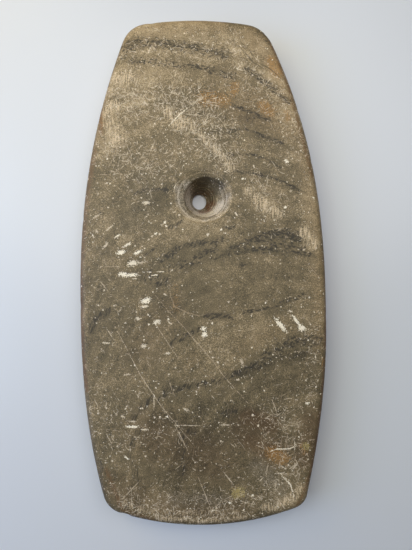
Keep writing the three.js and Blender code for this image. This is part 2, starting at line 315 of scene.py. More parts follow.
# Marks that broke the skin: (width, strength, points). A strength below nothing is a dark crack,
# and one over 1 gives a chalky mark a harder rim.
FLECKS = [
    (0.9, 0.8, [(-15.6, 18.9), (-13.7, 18.8)]),
    (0.5, 0.6, [(-23.2, 23.5), (-22.7, 23.5)]),
    (0.5, 0.6, [(-19.7, 23.1), (-19.2, 23.2)]),
    (0.5, 0.6, [(-27.6, 21.3), (-27.4, 21.7)]),
    (0.5, 0.6, [(-23.8, 20), (-23.2, 20.2)]),
    (0.5, 0.6, [(-29.4, 14.7), (-27, 16.1)]),
    (0.5, 0.7, [(-25.7, 11.4), (-23.5, 13.2)]),
    (0.4, 0.7, [(-28.3, 12), (-27.7, 11)]),
    (0.5, 1, [(-23.1, 9.7), (-21.8, 10.6)]),
    (0.6, 0.7, [(-14.4, 8.9), (-13.9, 9.2)]),
    (0.5, 0.7, [(-13.5, 9.7), (-12.9, 10.1)]),
    (0.6, 1, [(-12.6, 10.4), (-11.8, 10.8)]),
    (0.5, 0.8, [(-11.5, 10.3), (-10.9, 10.5)]),
    (0.6, 1, [(-10.1, 13.4), (-9.5, 13.7)]),
    (0.3, 0.6, [(-7.7, 16.2), (-6.7, 16.2)]),
    (0.35, 0.9, [(-6.8, 23.2), (-7.3, 21.9)]),
    (0.45, 0.8, [(-6.2, 15.2), (-5.6, 15.5)]),
    (0.6, 0.7, [(-26.6, 6.7), (-25.2, 8.2)]),
    (0.7, 0.9, [(-20.8, 7.2), (-18.8, 8.4)]),
    (0.5, 0.7, [(-18, 7.3), (-17.5, 7.5)]),
    (1.1, 1.2, [(-22.8, 5.5), (-20.4, 6)]),
    (0.8, 1, [(-18.2, 5.2), (-16.1, 6.1)]),
    (0.8, 0.8, [(1.1, 10), (1.9, 10.1)]),
    (0.6, 1, [(4.8, 11.2), (5.4, 11.5)]),
    (0.5, 0.8, [(8.7, 16), (9.5, 15)]),
    (0.5, 1, [(10.7, 24.6), (11.3, 24.8)]),
    (0.5, 0.7, [(15.9, 19.7), (16.4, 19.8)]),
    (0.7, 1, [(22, 16.8), (22.6, 17.2)]),
    (0.5, 0.7, [(22.6, 23.7), (23.1, 23.9)]),
    (0.5, 0.7, [(23.6, 21.2), (24.1, 21.4)]),
    (0.5, 1, [(29.5, 19.8), (30.4, 19.2)]),
    (0.5, 0.7, [(26.8, 5.7), (27.4, 5.8)]),
    (0.7, 1, [(22.2, 29.7), (23.4, 28.9)]),
    (1.5, 0.9, [(-19.9, 2.6), (-17.2, 3)]),
    (0.5, 0.6, [(-17.5, 2.8), (-14.6, 3.2)]),
    (1.2, 1.2, [(-22.3, 0), (-19.8, -0.3)]),
    (1, 1, [(-20.1, -0.4), (-17.4, -0.3)]),
    (0.3, 0.9, [(-16, 0.4), (-15.3, 0.4)]),
    (0.3, 0.9, [(-14.7, 0.4), (-13.4, 0.3)]),
    (0.25, 0.9, [(-12, 0.4), (-10.1, 0.4)]),
    (0.32, 1, [(-13.7, -0.5), (-11.8, -0.4)]),
    (0.4, 0.7, [(-18.7, -1.3), (-17.4, -1.4)]),
    (0.9, 0.8, [(-18, -12.1), (-17, -11.7)]),
    (1.5, 1.1, [(-16.5, -7.5), (-14, -6.8)]),
    (0.6, 0.8, [(-16.5, -8.8), (-14.5, -8.6)]),
    (1.1, 0.9, [(-13.3, -13.1), (-11.2, -12.6)]),
    (0.4, 0.7, [(-9.6, -12.6), (-8.4, -13.5)]),
    (0.4, 0.7, [(-10.5, -5.3), (-9.6, -5.9)]),
    (0.6, 0.7, [(6.5, -8), (7.1, -7.7)]),
    (1.1, 1.3, [(-0.7, -15), (0.7, -14.8)]),
    (1.3, 1.3, [(-0.3, -16.8), (0.8, -15.9)]),
    (1.1, 1.4, [(19.2, -12.6), (21.9, -16)]),
    (0.8, 1.4, [(23.8, -11.9), (26, -14.9)]),
    (1.5, 1.4, [(25.3, -14.7), (27.1, -15.7)]),
    (0.5, 0.8, [(22.5, -10.6), (23.7, -10.7)]),
    (0.5, 1, [(28.1, -7.2), (28.7, -7)]),
    (1, 0.8, [(-16.7, -19.3), (-15.1, -19.1)]),
    (0.5, 0.7, [(-27, -18.2), (-24.8, -18.4)]),
    (0.6, 0.8, [(-10.3, -21.4), (-8.9, -21.1)]),
    (0.5, 0.6, [(-21.6, -26.9), (-19.5, -26.6)]),
    (0.5, 0.7, [(-22.5, -37.5), (-21.4, -38.2)]),
    (0.7, 0.6, [(9.8, -22.8), (10.3, -24.9)]),
    (0.5, 0.7, [(8.5, -28.6), (9.3, -28.4)]),
    (0.8, 1, [(-10.4, -38.3), (-9.7, -37.9)]),
    (0.5, 0.7, [(-5.7, -35.9), (-4.5, -36.7)]),
    (0.6, 1, [(26.8, -35.3), (27.9, -35.2)]),
    (0.5, 1, [(-21.6, -48.5), (-20.4, -49.4)]),
    (0.6, 0.7, [(3.8, -44.9), (4.4, -44.8)]),
    (0.6, 1, [(5.9, -61.6), (6.5, -61.4)]),
    (0.6, 1, [(12, -59.6), (12.6, -59.4)]),
    (0.7, 0.6, [(23.1, -52.8), (24.5, -50.9)]),
    (0.4, 0.7, [(19.9, -51.7), (21.5, -52.7)]),
    (0.4, 0.7, [(18.5, -53.8), (20.9, -53.7)]),
    (0.7, 1, [(-21.2, -40.6), (-17.6, -40.6)]),
    (0.5, 0.8, [(-17.1, -41.4), (-15.4, -41.4)]),
    (0.4, 0.7, [(-20.2, -39.2), (-18.3, -39.2)]),
]
SCRATCHES = [
    (0.3, 0.9, [(-8.5, 38.9), (-5.4, 42.1), (-2.8, 44.1)]),
    (0.25, 0.4, [(-23.7, 34), (-19.5, 33.9)]),
    (0.25, 0.4, [(-27, 26.6), (-24.3, 26.5)]),
    (0.3, 0.5, [(-27.2, -1.9), (-25.4, -4.3)]),
    (0.25, 0.35, [(-27.4, 2.1), (-20, 2)]),
    (0.3, 0.3, [(-8.9, -2.5), (-8.6, -6), (-7.6, -8.8), (-4.1, -10.6), (-1.2, -11.4), (1.7, -10.8)]),
    (0.22, 0.4, [(-12.8, -5.6), (-9.3, -9.9), (-4.5, -15.2), (2.2, -23.3), (5.3, -27.7), (13.1, -36.7)]),
    (0.22, 0.45, [(-13.4, -12.4), (-6.3, -23.4)]),
    (0.3, 0.6, [(-25.8, -14.4), (-24.1, -17.1)]),
    (0.22, 0.5, [(-23.8, -13.4), (-21.7, -17.5), (-16.8, -27.2), (-11.5, -35.3), (-3.5, -45.2)]),
    (0.3, 0.6, [(-13.4, -32.1), (-13.5, -36.1)]),
    (0.3, 0.5, [(-7.8, -40.8), (-5, -46.6)]),
    (0.3, 0.4, [(-9.4, -28.1), (-8.5, -31.4)]),
    (0.3, 0.5, [(-17.7, -55.2), (-22.7, -60.3)]),
    (0.3, 0.5, [(-1.8, -55), (-0.7, -58), (1.5, -64)]),
    (0.3, 0.6, [(4.8, -53.2), (7.5, -56.9)]),
    (0.25, 0.65, [(-7.4, -40.4), (-1.2, -40.6)]),
    (0.3, 0.7, [(4, -40.5), (7.2, -40.5)]),
    (0.3, 0.5, [(6.7, -45.5), (8, -46.7)]),
    (0.3, 0.5, [(13.6, -46.1), (15.7, -47)]),
    (0.32, 0.9, [(16.9, -47.9), (18.9, -47.2), (22.2, -47.3), (23.9, -46.7), (23.8, -45.1)]),
    (0.3, 0.5, [(18.1, -45.6), (20.3, -45.7)]),
    (0.3, 0.5, [(27.5, -45.1), (29.4, -45.1)]),
    (0.3, 0.5, [(17.7, -33.5), (19.5, -38.7)]),
    (0.3, 0.5, [(20.8, -34.3), (22.3, -33.7), (23.5, -33.9)]),
    (0.4, 0.9, [(20.3, -54.5), (22.5, -56.9), (23.4, -60.2)]),
    (0.3, 0.5, [(21.3, -59.9), (23, -62.2)]),
    (0.3, 0.6, [(19.2, -60.8), (21.3, -64)]),
    (0.3, 0.5, [(16.6, -50.7), (16, -54.6)]),
    (0.3, 0.5, [(-26.3, -42.7), (-24.8, -45.6)]),
    (0.3, 0.5, [(-25.3, -42.7), (-24.1, -44.9)]),
    (0.25, -0.5, [(11.2, 61.4), (12.6, 59.7)]),
    (0.25, -0.5, [(13.3, 59.3), (14.6, 57.3)]),
    (0.25, -0.6, [(10.8, 60), (12.7, 57.9), (14.5, 55.7), (16.4, 54.6)]),
    (0.28, -0.6, [(16.2, 55.5), (18.9, 54), (20.5, 52.6), (22, 51.2)]),
    (0.3, -0.5, [(22.2, 23.6), (27.8, 20.9)]),
]
MARK_REACH = 0.75  # past a mark's edge, its coordinates are still counted this far: over one cell
MARK_APART = 1.5  # marks in one layer stay this far apart, over two cells
STROKE_FALL = 0.7  # how fast a stroke fades away from its line
WIDE_FLECK = 0.8  # flecks wider than this are sunk into the face
SUNK_SHARE = 0.12  # by this share of their width

# The back's own flecks and scratches, which are a guess: they are scattered at random. A mark
# over scratch_from long is a scratch.
BACK_MARKS = {
    "count": 60,
    "seed": 11,
    "reach": (27, 60),
    "off_hole": 10,
    "shortest": 0.5,
    "longer_by": 1.6,
    "scratch_from": 3,
    "scratch_width": 0.28,
    "fleck_widths": (0.3, 0.7),
    "strengths": (0.4, 0.9),
}


def colour(hex_code):
    """A sRGB hex colour as linear red, green, blue and alpha."""
    channels = [int(hex_code[i:i + 2], 16) / 255 for i in (1, 3, 5)]
    linear = [c / 12.92 if c <= 0.04045 else ((c + 0.055) / 1.055) ** 2.4 for c in channels]
    return (*linear, 1.0)


def open_socket(sockets, key):
    """The socket of that name, or in that place, among the ones that the node's settings use."""
    used = [socket for socket in sockets if socket.enabled]
    return used[key] if isinstance(key, int) else next(s for s in used if s.name == key)


def add(tree, kind, sockets=None, **settings):
    """Adds a node with its settings. Each socket gets a value, or the node that feeds it."""
    node = tree.nodes.new(kind)
    for name, value in settings.items():
        setattr(node, name, value)
    for key, value in (sockets or {}).items():
        socket = open_socket(node.inputs, key)
        if isinstance(value, bpy.types.Node):
            value = open_socket(value.outputs, 0)
        if isinstance(value, bpy.types.NodeSocket):
            tree.links.new(value, socket)
        else:
            socket.default_value = value
    return node


def side_points(side, y):
    """Points of one side of the outline at heights y."""
    y = np.asarray(y, float)
    widest_at = side["widest_at"]
    towards_head = y > widest_at
    (head_half, head_power), (foot_half, foot_power) = side["head"], side["foot"]
    end_half = np.where(towards_head, head_half, foot_half)
    power = np.where(towards_head, head_power, foot_power)
    span = np.where(towards_head, HALF_LENGTH - widest_at, HALF_LENGTH + widest_at)
    half = HALF_WIDTH - (HALF_WIDTH - end_half) * (np.abs(y - widest_at) / span) ** power
    return np.stack([side["sign"] * half, y], -1)


def end_points(end, x):
    """Points of one end's arc at x."""
    x = np.asarray(x, float)
    drop = end["radius"] - np.sqrt(end["radius"] ** 2 - (x - end["apex_x"]) ** 2)
    return np.stack([x, end["sign"] * (HALF_LENGTH - drop)], -1)


def corner_curve(side, end, cut):
    """The curve round one corner, from its side to its end."""
    sharp = side_points(side, end["sign"] * HALF_LENGTH)
    for _ in range(CORNER_ROUNDS):
        sharp = side_points(side, end_points(end, sharp[0])[1])
    on_side = side_points(side, sharp[1] - end["sign"] * cut)
    on_end = end_points(end, sharp[0] - side["sign"] * cut)
    t = np.linspace(0, 1, 2 * CURVE_STEPS + 1)[:, None]
    return (1 - t) ** 2 * on_side + 2 * t * (1 - t) * sharp + t ** 2 * on_end


def evenly(points, cells):
    """A drawn line cut into that many steps of equal length."""
    lengths = np.linalg.norm(np.diff(points, axis=0), axis=1)
    travelled = np.concatenate([[0], np.cumsum(lengths)])
    stops = np.linspace(0, travelled[-1], cells + 1)
    return np.stack([np.interp(stops, travelled, column) for column in points.T], -1)


def outline_ring():
    """The outline, anticlockwise from the middle of the foot's left corner."""
    foot_left = corner_curve(LEFT_SIDE, FOOT_END, CORNER_CUTS["foot_left"])
    foot_right = corner_curve(RIGHT_SIDE, FOOT_END, CORNER_CUTS["foot_right"])
    head_right = corner_curve(RIGHT_SIDE, HEAD_END, CORNER_CUTS["head_right"])
    head_left = corner_curve(LEFT_SIDE, HEAD_END, CORNER_CUTS["head_left"])
    middle = CURVE_STEPS

    def end_run(end, first, last):
        arc = end_points(end, np.linspace(first[-1, 0], last[-1, 0], 2 * CURVE_STEPS))
        return np.concatenate([first[middle:], arc[1:-1], last[:middle - 1:-1]])

    def side_run(side, first, last):
        curve = side_points(side, np.linspace(first[0, 1], last[0, 1], 4 * CURVE_STEPS))
        return np.concatenate([first[middle::-1], curve[1:-1], last[:middle + 1]])

    runs = [
        evenly(end_run(FOOT_END, foot_left, foot_right), CELLS_ACROSS),
        evenly(side_run(RIGHT_SIDE, foot_right, head_right), CELLS_ALONG),
        evenly(end_run(HEAD_END, head_right, head_left), CELLS_ACROSS),
        evenly(side_run(LEFT_SIDE, head_left, foot_left), CELLS_ALONG),
    ]
    return np.concatenate([run[:-1] for run in runs])


def towards_spine(points):
    """Level unit vectors from points to the line up the stone's middle."""
    spine_half = HALF_LENGTH - HALF_WIDTH
    spine_y = np.clip(points[:, 1], -spine_half, spine_half)
    inward = np.stack([-points[:, 0], spine_y - points[:, 1]], -1)
    return inward / np.linalg.norm(inward, axis=1, keepdims=True)


def inset_ring(outline, inset):
    """The outline drawn in towards the stone's spine."""
    return outline + inset * towards_spine(outline)


def face_grid(ring):
    """A grid of points stretched inside a closed ring: rows along the stone, columns across."""
    a, b = CELLS_ACROSS, CELLS_ALONG
    foot, right = ring[:a + 1], ring[a:a + b + 1]
    head = ring[a + b:2 * a + b + 1][::-1]
    left = np.append(ring[2 * a + b:], ring[:1], axis=0)[::-1]
    u = np.linspace(0, 1, a + 1)[None, :, None]
    v = np.linspace(0, 1, b + 1)[:, None, None]
    between_ends = (1 - v) * foot[None] + v * head[None]
    between_sides = (1 - u) * left[:, None] + u * right[:, None]
    corners = (1 - v) * ((1 - u) * foot[0] + u * foot[-1]) + v * ((1 - u) * head[0] + u * head[-1])
    return between_ends + between_sides - corners


def rounding_steps(rounding, rings):
    """Inset from the outline and depth below the face, from the wall inwards."""
    angle = np.linspace(0, math.pi / 2, rings + 1)
    power = 2 / rounding["fullness"]
    inset = rounding["reach"] * (1 - np.cos(angle) ** power)
    depth = rounding["height"] * (1 - np.sin(angle) ** power)
    return np.stack([inset, depth], -1)


def with_height(points, z):
    """Points in the plane lifted to the height z."""
    return np.concatenate([points, np.broadcast_to(z, points.shape[:-1])[..., None]], -1)


class Skin:
    """The stone's skin, gathered patch by patch: its points and its four-sided faces."""

    def __init__(self):
        self.points = []
        self.faces = []
        self.count = 0

    def add(self, points):
        """Takes points in and gives their numbers back, in the same arrangement."""
        numbers = np.arange(self.count, self.count + points[..., 0].size)
        self.points.append(points.reshape(-1, 3))
        self.count += numbers.size
        return numbers.reshape(points.shape[:-1])

    def bridge(self, rings):
        """Joins each ring to the one after it. All have as many points."""
        for ring, following in zip(rings, rings[1:]):
            corners = [ring, np.roll(ring, -1), np.roll(following, -1), following]
            self.faces.append(np.stack(corners, -1))

    def fill(self, grid, kept, upwards):
        """Fills the kept cells of a grid of numbers."""
        corners = [grid[:-1, :-1], grid[:-1, 1:], grid[1:, 1:], grid[1:, :-1]]
        cells = np.stack(corners if upwards else corners[::-1], -1)
        self.faces.append(cells[kept])


def border(grid):
    """The numbers round the border of a grid, anticlockwise from its lowest left one."""
    return np.concatenate([grid[0, :-1], grid[:-1, -1], grid[-1, :0:-1], grid[:0:-1, 0]])


def crowned_height(points, shoulder):
    """Height of the crowned front face at points inside its shoulder."""
    shoulder_angle = np.arctan2(shoulder[:, 1], shoulder[:, 0])
    shoulder_reach = np.linalg.norm(shoulder, axis=1)
    order = np.argsort(shoulder_angle)
    angle = np.arctan2(points[..., 1], points[..., 0])
    reach = np.interp(angle, shoulder_angle[order], shoulder_reach[order], period=2 * math.pi)
    return THICKNESS - CROWN * (np.linalg.norm(points, axis=-1) / reach) ** 2


def smooth(share):
    """An even step from 0 to 1, level at both ends."""
    share = np.clip(share, 0, 1)
    return share * share * (3 - 2 * share)


def shares(count):
    """How far along each of that many steps has come: the last one is at 1."""
    return np.linspace(0, 1, count + 1)[1:]


def hole_rings(front_loop, back_loop, shoulder):
    """The rings of the hole: across the front's lip, the dish, the cone, the throat, the back."""
    dish_centre = np.array(DISH["centre"])
    cone_mouth, cone_throat = np.array(CONE["mouth"]), np.array(CONE["throat"])
    heading = front_loop - dish_centre
    heading /= np.linalg.norm(heading, axis=1, keepdims=True)

    def circle(centre, radius, oval):
        return centre + radius * heading * [oval, 1]

    rings = []
    lip = circle(dish_centre, DISH["mouth"], DISH["oval"])
    for t in shares(LIP_RINGS):
        ring = front_loop + (lip - front_loop) * t
        rings.append(with_height(ring, crowned_height(ring, shoulder)))
    for t in shares(DISH_RINGS):
        radius = DISH["mouth"] + (DISH["floor"] - DISH["mouth"]) * t
        oval = DISH["oval"] + (CONE["oval"] - DISH["oval"]) * t
        ring = circle(dish_centre + (cone_mouth - dish_centre) * t, radius, oval)
        early = DISH_FALL["early_share"] * (1 - (1 - t) ** DISH_FALL["early_power"])
        late = (1 - DISH_FALL["early_share"]) * t ** DISH_FALL["late_power"]
        drop = DISH["depth"] * (early + late)
        rings.append(with_height(ring, crowned_height(ring, shoulder) - drop))
    mouth_height = rings[-1][:, 2]
    around = np.arctan2(heading[:, 1], heading[:, 0])
    for t in shares(CONE_RINGS):
        groove = RING_DEPTH * (0.5 - 0.5 * math.cos(2 * math.pi * TURNING_RINGS * t))
        wobble = CONE_WOBBLE["depth"] * np.sin(2 * around + CONE_WOBBLE["twist"] * t)
        strayed = groove + wobble * math.sin(math.pi * t)
        radius = DISH["floor"] + (THROAT["radius"] - DISH["floor"]) * t + strayed
        oval = CONE["oval"] + (THROAT["oval"] - CONE["oval"]) * t
        ring = circle(cone_mouth + (cone_throat - cone_mouth) * t, radius[:, None], oval)
        rings.append(with_height(ring, mouth_height + (THROAT["height"] - mouth_height) * t))
    for t in shares(THROAT_RINGS):
        height = THROAT["height"] + (BACK_REAMING["depth"] - THROAT["height"]) * t
        rings.append(with_height(circle(cone_throat, THROAT["radius"], THROAT["oval"]), height))
    for t in shares(THROAT_RINGS):
        wider = (BACK_REAMING["radius"] - THROAT["radius"]) * t ** BACK_REAMING["flare"]
        height = BACK_REAMING["depth"] * (1 - t)
        ring = circle(cone_throat, THROAT["radius"] + wider, THROAT["oval"])
        rings.append(with_height(ring, height))
    edge = rings[-1][:, :2]
    for t in shares(LIP_RINGS)[:-1]:
        rings.append(with_height(edge + (back_loop - edge) * t, 0))
    return rings


def rim_rings(outline):
    """The rings between the back and the front, from the lowest up."""
    rings = []
    for inset, depth in rounding_steps(BACK_ROUNDING, BACK_RINGS)[-2::-1]:
        rings.append(with_height(inset_ring(outline, inset), depth))
    wall_low, wall_high = BACK_ROUNDING["height"], THICKNESS - CROWN - FRONT_ROUNDING["height"]
    for z in np.linspace(wall_low, wall_high, WALL_RINGS + 1)[1:-1]:
        rings.append(with_height(outline, z))
    for inset, depth in rounding_steps(FRONT_ROUNDING, FRONT_RINGS)[:-1]:
        rings.append(with_height(inset_ring(outline, inset), THICKNESS - CROWN - depth))
    return rings


def knock_off_flakes(points):
    """Moves the rim's points inwards to the floor of each flake scar."""
    for flake in FLAKES:
        size = flake["radius"] * np.array(flake["stretch"])
        inside = np.flatnonzero((((points - flake["centre"]) / size) ** 2).sum(1) < 1)
        start = (points[inside] - flake["centre"]) / size
        step = with_height(towards_spine(points[inside, :2]), 0) / size
        a, b, c = (step ** 2).sum(1), (start * step).sum(1), (start ** 2).sum(1) - 1
        travel = (-b + np.sqrt(b * b - a * c)) / a
        points[inside] += travel[:, None] * step * size


def stone_skin():
    """The stone's points, its faces, and the share of the way down the hole of each point."""
    outline = outline_ring()
    shoulder = inset_ring(outline, FRONT_ROUNDING["reach"])
    front = face_grid(shoulder)
    back = face_grid(inset_ring(outline, BACK_ROUNDING["reach"]))
    skin = Skin()
    front_numbers = skin.add(with_height(front, crowned_height(front, shoulder)))
    back_numbers = skin.add(with_height(back, 0))

    middle_row = np.argmin(np.abs(front[:, CELLS_ACROSS // 2, 1] - DISH["centre"][1]))
    half_rows = round(HOLE_BLOCK / (front[middle_row + 1, 0, 1] - front[middle_row, 0, 1]))
    columns = np.flatnonzero(np.abs(front[middle_row, :, 0] - DISH["centre"][0]) < HOLE_BLOCK)
    rows = slice(middle_row - half_rows, middle_row + half_rows + 1)
    across = slice(columns[0], columns[-1] + 1)
    kept = np.ones((CELLS_ALONG, CELLS_ACROSS), bool)
    kept[rows.start:rows.stop - 1, across.start:across.stop - 1] = False
    skin.fill(front_numbers, kept, upwards=True)
    skin.fill(back_numbers, kept, upwards=False)

    rim_numbers = [skin.add(ring) for ring in rim_rings(outline)]
    skin.bridge([border(back_numbers), *rim_numbers, border(front_numbers)])

    front_loop, back_loop = border(front_numbers[rows, across]), border(back_numbers[rows, across])
    points = np.concatenate(skin.points)
    hole = hole_rings(points[front_loop, :2], points[back_loop, :2], shoulder)
    hole_numbers = [skin.add(ring) for ring in hole]
    skin.bridge([front_loop, *hole_numbers, back_loop])

    depth = np.zeros(skin.count)
    drilled = hole_numbers[LIP_RINGS:-LIP_RINGS + 1]
    for place, numbers in enumerate(drilled):
        depth[numbers] = (place + 1) / len(drilled)
    used, faces = np.unique(np.concatenate(skin.faces), return_inverse=True)
    points = np.concatenate(skin.points)[used]
    knock_off_flakes(points)
    return points, faces.reshape(-1, 4), depth[used]


def near_line(points, line):
    """Of each point: place along the line, distance to the left of it, distance to it.

    Past the line's two ends the place still counts on, so that it crosses a cell evenly. The
    line's length comes last.
    """
    line = np.array(line, float)
    along, aside = np.zeros(len(points)), np.zeros(len(points))
    distance = np.full(len(points), np.inf)
    travelled = 0.0
    for i, (start, stop) in enumerate(zip(line, line[1:])):
        length = np.linalg.norm(stop - start)
        heading = (stop - start) / length
        reach = (points - start) @ heading
        left = (points - start) @ [-heading[1], heading[0]]
        held = np.clip(reach, 0, length)
        gap = np.hypot(reach - held, left)
        lowest = -np.inf if i == 0 else 0
        highest = np.inf if i == len(line) - 2 else length
        nearer = gap < distance
        along[nearer] = travelled + np.clip(reach, lowest, highest)[nearer]
        aside[nearer] = left[nearer]
        distance[nearer] = gap[nearer]
        travelled += length
    return along, aside, distance, travelled


def painted(points, strokes):
    """How strongly soft strokes cover each point."""
    cover = np.zeros(len(points))
    for half_width, strength, line in strokes:
        _, _, distance, _ = near_line(points, line)
        faded = np.exp(-STROKE_FALL * (distance / half_width) ** 2)
        cover = np.maximum(cover, strength * faded)
    return cover


def mark_layers(points, on_front, marks):
    """Layers that hold, round each mark, its own coordinates: along, aside and strength.

    Along is -1 and 1 at the mark's tips, and aside is -1 and 1 at its flanks. Both cross a cell
    evenly, so a mark stays crisp however coarse the mesh is.
    """
    layers, taken = [], []
    front_numbers = np.flatnonzero(on_front)
    flat = points[front_numbers, :2]
    for width, strength, line in marks:
        along, aside, distance, length = near_line(flat, line)
        close = distance < width / 2 + MARK_APART
        free = next((i for i, used in enumerate(taken) if not used[close].any()), None)
        if free is None:
            free = len(layers)
            layers.append(np.zeros((len(points), 3)))
            taken.append(np.zeros(len(flat), bool))
        taken[free] |= close
        counted = strength * (distance < width / 2 + MARK_REACH)
        own = np.stack([2 * along / length - 1, 2 * aside / width, counted], -1)
        layers[free][front_numbers[close]] = own[close]
    return layers


def dents(points):
    """How deep the wide flecks of the front are sunk, in millimetres."""
    depth = np.zeros(len(points))
    for width, _, line in FLECKS:
        if width > WIDE_FLECK:
            _, _, distance, _ = near_line(points[:, :2], line)
            bowl = np.clip(1 - distance / width, 0, 1)
            depth = np.maximum(depth, SUNK_SHARE * width * bowl)
    return depth * (points[:, 2] > THICKNESS / 2)


def random_marks():
    """Small flecks and scratches scattered over the back."""
    dice = np.random.default_rng(BACK_MARKS["seed"])
    across, along = BACK_MARKS["reach"]
    marks = []
    while len(marks) < BACK_MARKS["count"]:
        middle = np.array([dice.uniform(-across, across), dice.uniform(-along, along)])
        if np.linalg.norm(middle - DISH["centre"]) < BACK_MARKS["off_hole"]:
            continue
        length = BACK_MARKS["shortest"] + dice.exponential(BACK_MARKS["longer_by"])
        turn = dice.uniform(0, math.pi)
        width = BACK_MARKS["scratch_width"]
        if length <= BACK_MARKS["scratch_from"]:
            width = dice.uniform(*BACK_MARKS["fleck_widths"])
        half = np.array([math.cos(turn), math.sin(turn)]) * length / 2
        strength = dice.uniform(*BACK_MARKS["strengths"])
        marks.append((width, strength, [middle - half, middle + half]))
    return marks


def keep_per_point(mesh, name, values):
    """Stores one number, or one vector, for each point of the mesh."""
    vectors = values.ndim == 2
    kind, field = ("FLOAT_VECTOR", "vector") if vectors else ("FLOAT", "value")
    attribute = mesh.attributes.new(name, kind, "POINT")
    attribute.data.foreach_set(field, values.astype(np.float32).ravel())


def mesh_of(points, faces):
    """A Blender mesh in metres."""
    mesh = bpy.data.meshes.new("slate_tablet")
    mesh.vertices.add(len(points))
    mesh.vertices.foreach_set("co", (points * MM).astype(np.float32).ravel())
    mesh.loops.add(faces.size)
    mesh.loops.foreach_set("vertex_index", faces.astype(np.int32).ravel())
    mesh.polygons.add(len(faces))
    mesh.polygons.foreach_set("loop_start", np.arange(0, faces.size, 4, dtype=np.int32))
    mesh.update(calc_edges=True)
    mesh.shade_smooth()
    return mesh


# The beds lean: for each millimetre down through the stone they come out this much nearer the foot
BED_DIP = 0.55
EDGE_WIDTH = 3.2  # the band along the outline, which the relief nicks and the colour darkens
EDGE_SKIP = 4  # every fourth point of the outline is enough to measure from
EDGE_PARTS = 40  # the points are measured in so many parts, which spares the memory
BACK_BELOW = 0.6  # points lower than this belong to the back
HANDLED_ALL_OVER = 0.25
KEPT_SMOOTH = 0.9  # what a smooth zone takes off the handling


def gap_to_outline(points):
    """Level distance of each point to the outline."""
    outline = outline_ring()[::EDGE_SKIP]
    parts = np.array_split(points[:, :2], EDGE_PARTS)
    gaps = [np.linalg.norm(part[:, None] - outline, axis=2).min(1) for part in parts]
    return np.concatenate(gaps)


def paint(mesh, points, depth):
    """Stores what the material and the relief read, point by point. Gives the count of layers."""
    level, height = points[:, :2], points[:, 2]
    on_front, on_back = height > THICKNESS / 2, height < BACK_BELOW
    flat = np.where(on_back[:, None], -level, level)  # the back's stains lie in other places
    bedded = level + np.stack([0 * height, BED_DIP * (THICKNESS - height)], -1)
    handled = np.maximum(painted(flat, HANDLED_ZONES), HANDLED_ALL_OVER)
    fields = {
        "dark_beds": painted(bedded, DARK_BEDS),
        "rust": painted(flat, RUST_STAINS),
        "pale_scuffs": painted(flat, PALE_SCUFFS),
        "grey_clouds": painted(flat, GREY_CLOUDS),
        "ochre": painted(flat, OCHRE_SPOTS),
        # Tan stain, partly painted light along the head's right bevel
        "tan_and_painted_light": painted(flat, TAN_ZONES_AND_PAINTED_LIGHT),
        "reddish": painted(flat, RED_ZONES),
        "brown_rim": painted(flat, BROWN_RIMS),
        "handled": handled * (1 - KEPT_SMOOTH * painted(flat, SMOOTH_ZONES)),
        # Lighter and darker zones; the lighter ones are partly painted light on shaded bevels and at the
        # head
        "shade": painted(flat, PALER_ZONES_AND_PAINTED_LIGHT) - painted(flat, DARK_ZONES),
        "edge": smooth(1 - gap_to_outline(points) / EDGE_WIDTH),
        "dents": dents(points),
        "drilled": depth,
        # Pale dust in the hole, partly painted light; painted shade with some brown stain towards the
        # head
        "hole_dust_and_light": painted(level, HOLE_DUST_AND_LIGHT) * (depth > 0),
        "hole_shade_and_stain": painted(level, HOLE_SHADE_AND_STAIN) * (depth > 0),
        "hole_rust": painted(level, HOLE_RUST) * (depth > 0),
    }
    for name, values in fields.items():
        keep_per_point(mesh, name, values)

    front_layers = mark_layers(points, on_front & (depth == 0), FLECKS + SCRATCHES)
    back_layers = mark_layers(points, on_back, random_marks())
    for i, sides in enumerate(zip_longest(front_layers, back_layers, fillvalue=0)):
        keep_per_point(mesh, f"marks_{i}", sum(sides))
    return max(len(front_layers), len(back_layers))


# The arches of the beds: their line of crests, and how fast they fall away from it
CREST_LEAN = 0.52
CREST_X = 18.6
ARCH_FALL = 0.0097

# The bare stone's colours, from its darkest tone to its lightest
STONE_TONES = (
    (0.0, "#3d3527"),
    (0.3, "#584f3b"),
    (0.5, "#71654b"),
    (0.7, "#8a795a"),
    (1.0, "#c4ae88"),
)
MIDDLE_TONE = 0.56
TONE_AND_SHEEN_PER_MM = 0.0013  # paler towards its head: partly the stone's tone, partly painted sheen of the light from beyond the head
ZONE_TONE = 0.2  # what a light zone adds and a dark one takes
CRYSTAL_TONE = 0.68
HANDLED_CRYSTAL_TONE = -0.1  # handling has evened out the crystals
RIDGE_TONE = 1.2  # the weight of the drill's fine ridges in the hole's tone
RIDGES_FROM = 0.03  # the ridges in the hole are full at this share of its depth

# The noises: the places they lie in, how many features they have in a millimetre across the
# stone, along it and through it, their octaves and their roughness. Slate's own grains are too
# fine to show, so the crystals are drawn a fifth of a millimetre wide.
NOISES = {
    "clouds": ("plain", (0.12, 0.12, 0.12), 4, 0.5),
    "blotches": ("plain", (0.5, 0.5, 0.5), 3, 0.5),
    "grain": ("plain", (2, 2, 2), 2, 0.8),
    "crystals": ("plain", (4.8, 4.8, 4.8), 0, 0.5),
    "fibres": ("plain", (3, 0.35, 1), 1, 0.8),
    "fine_beds": ("bedded", (0.02, 0.45, 0.02), 3, 0.6),
    "strands": ("bedded", (0.12, 0.9, 0.12), 3, 0.6),
    "clumps": ("bedded", (1.2, 2, 1.2), 1, 0.5),
}
TURNINGS = 22  # features of the noise that runs down the hole
NOISE_MIDDLE = 0.5
GRAIN_SWING = 0.2  # the grain seldom strays further from its middle

